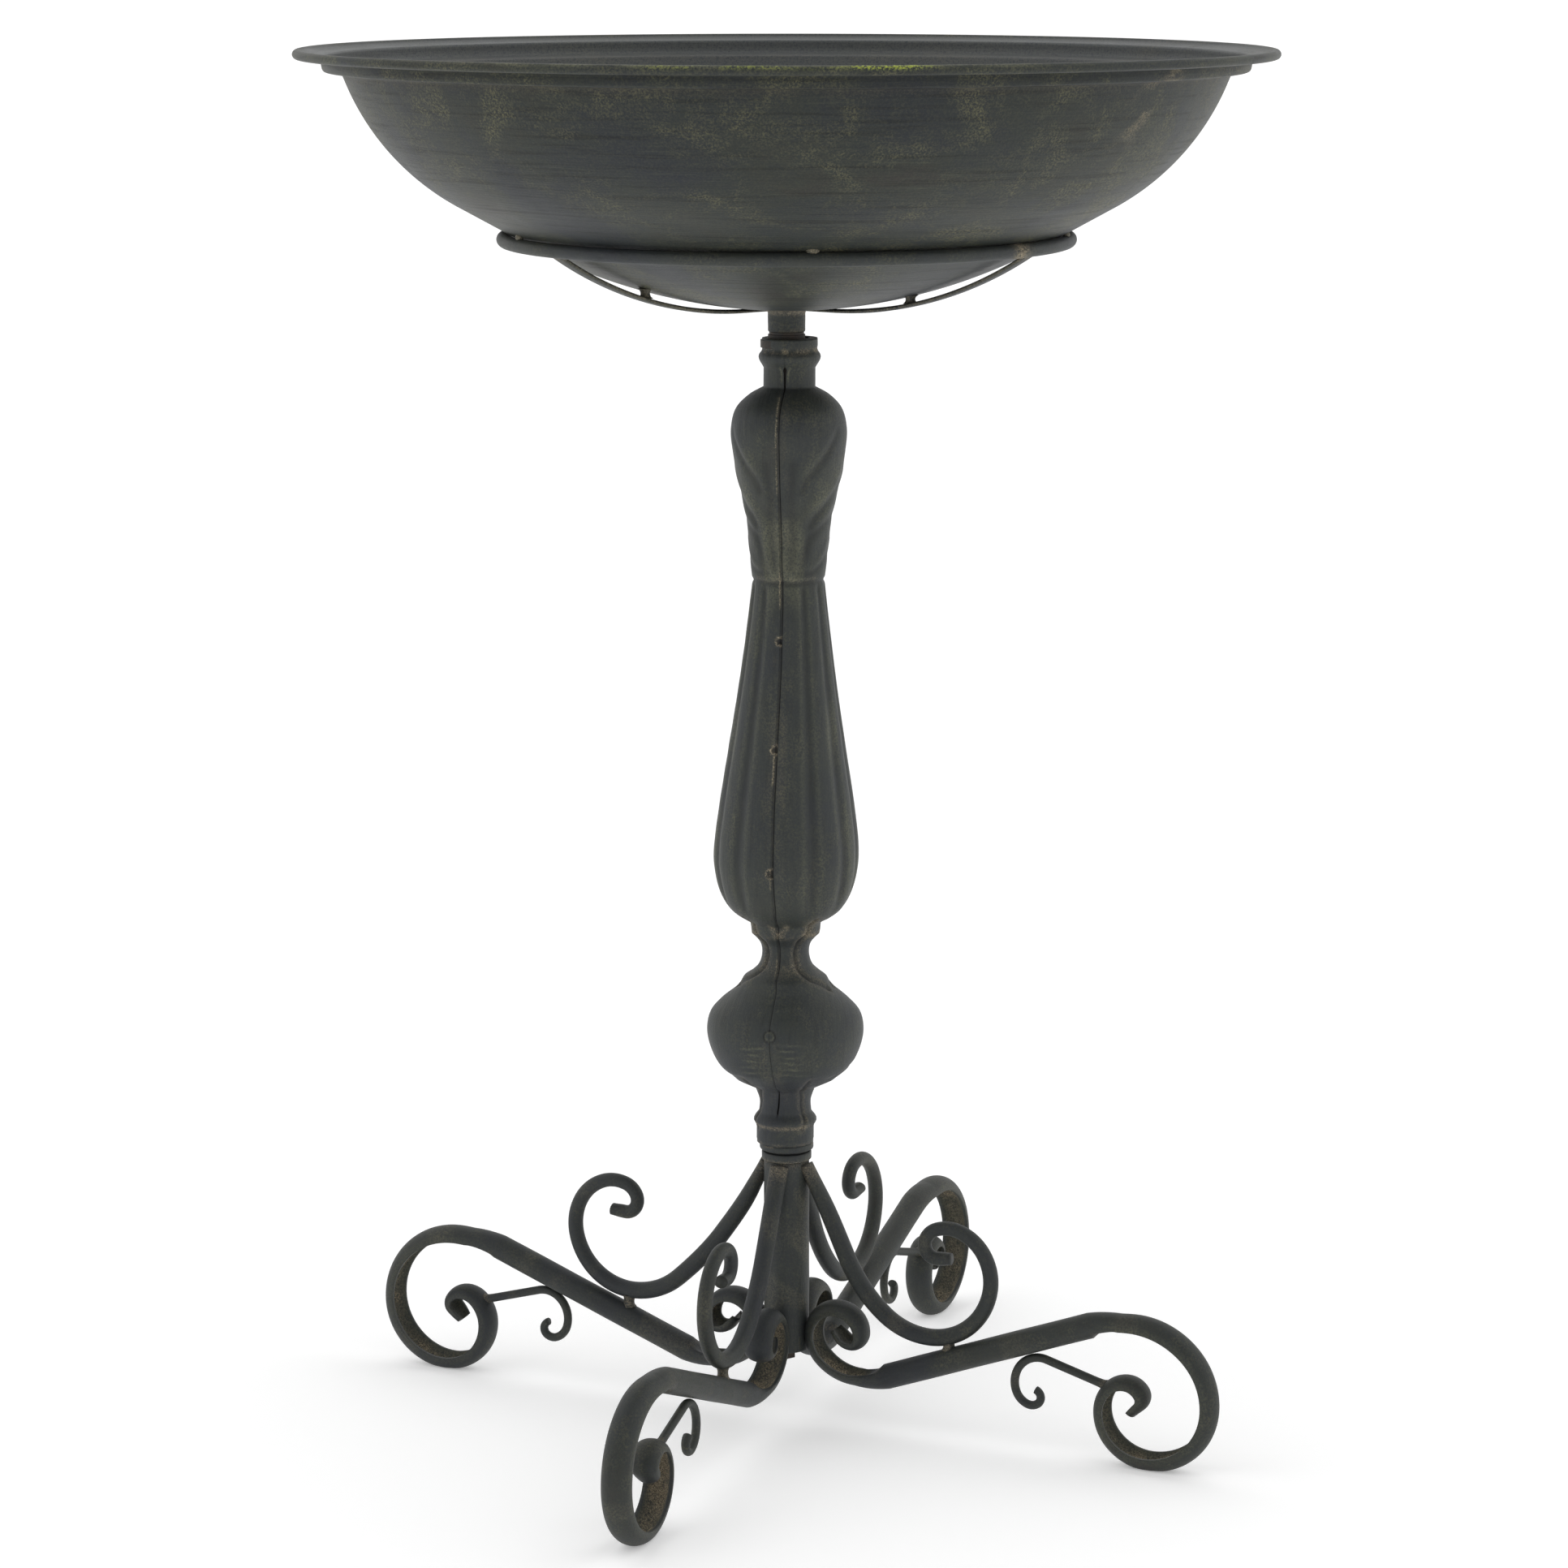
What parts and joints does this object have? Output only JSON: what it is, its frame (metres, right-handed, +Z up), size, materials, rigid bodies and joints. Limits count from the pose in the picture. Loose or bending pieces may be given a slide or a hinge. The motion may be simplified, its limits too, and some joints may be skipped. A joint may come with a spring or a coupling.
{
  "type": "bird bath",
  "caption": "Garden bird bath: wide shallow metal basin that drops into a fluted baluster column standing on scrolled tube legs with curled braces.",
  "frame": {"origin": "column axis at the floor", "axes": "+Z up along the column, +X along the first leg"},
  "size_m": [0.66, 0.6598, 0.9572],
  "materials": {
    "basin_patina": "charcoal patina with olive mottling, semi-matt",
    "cradle_patina": "charcoal patina, semi-matt",
    "column_patina": "charcoal patina with tan wear in the creases",
    "scroll_patina": "charcoal patina, rust in the hollow faces",
    "zinc_plate": "dull zinc",
    "plain_steel": "oily mill finish"
  },
  "bodies": {
    "pedestal": {"core_tube": "plain_steel", "baluster_shell_right": "column_patina", "baluster_shell_left": "column_patina", "lower_centring_ring": "plain_steel", "upper_centring_ring": "plain_steel", "joint_ring": "column_patina", "base_post": "column_patina", "post_flange": "column_patina", "reducer_bush": "plain_steel", "bottom_cap": "plain_steel", "bolt_washer": "zinc_plate", "column_bolt": "zinc_plate", "core_plug": "plain_steel", "leg_scroll_1": "scroll_patina", "brace_scroll_1": "scroll_patina", "tie_rod_1": "scroll_patina", "leg_scroll_2": "scroll_patina", "brace_scroll_2": "scroll_patina", "tie_rod_2": "scroll_patina", "leg_scroll_3": "scroll_patina", "brace_scroll_3": "scroll_patina", "tie_rod_3": "scroll_patina", "leg_scroll_4": "scroll_patina", "brace_scroll_4": "scroll_patina", "tie_rod_4": "scroll_patina", "brace_studs": "scroll_patina"},
    "washer": {"seat_washer": "zinc_plate"},
    "basin_unit": {"basin": "basin_patina", "support_ring": "cradle_patina", "support_strut_1": "cradle_patina", "support_strut_2": "cradle_patina", "support_strut_3": "cradle_patina", "strut_spacers": "cradle_patina", "ring_weld_pads": "cradle_patina", "socket_sleeve": "cradle_patina", "stem_tube": "plain_steel"}
  },
  "joints": [
    {"name": "basin_turn", "type": "hinge", "parent": "pedestal", "child": "washer", "pos_m": [0, 0, 0.7655], "axis": [0, 0, 1], "continuous": true},
    {"name": "basin_lift", "type": "slide", "parent": "washer", "child": "basin_unit", "axis": [0, 0, 1], "range_m": [0, 0.07]}
  ]
}
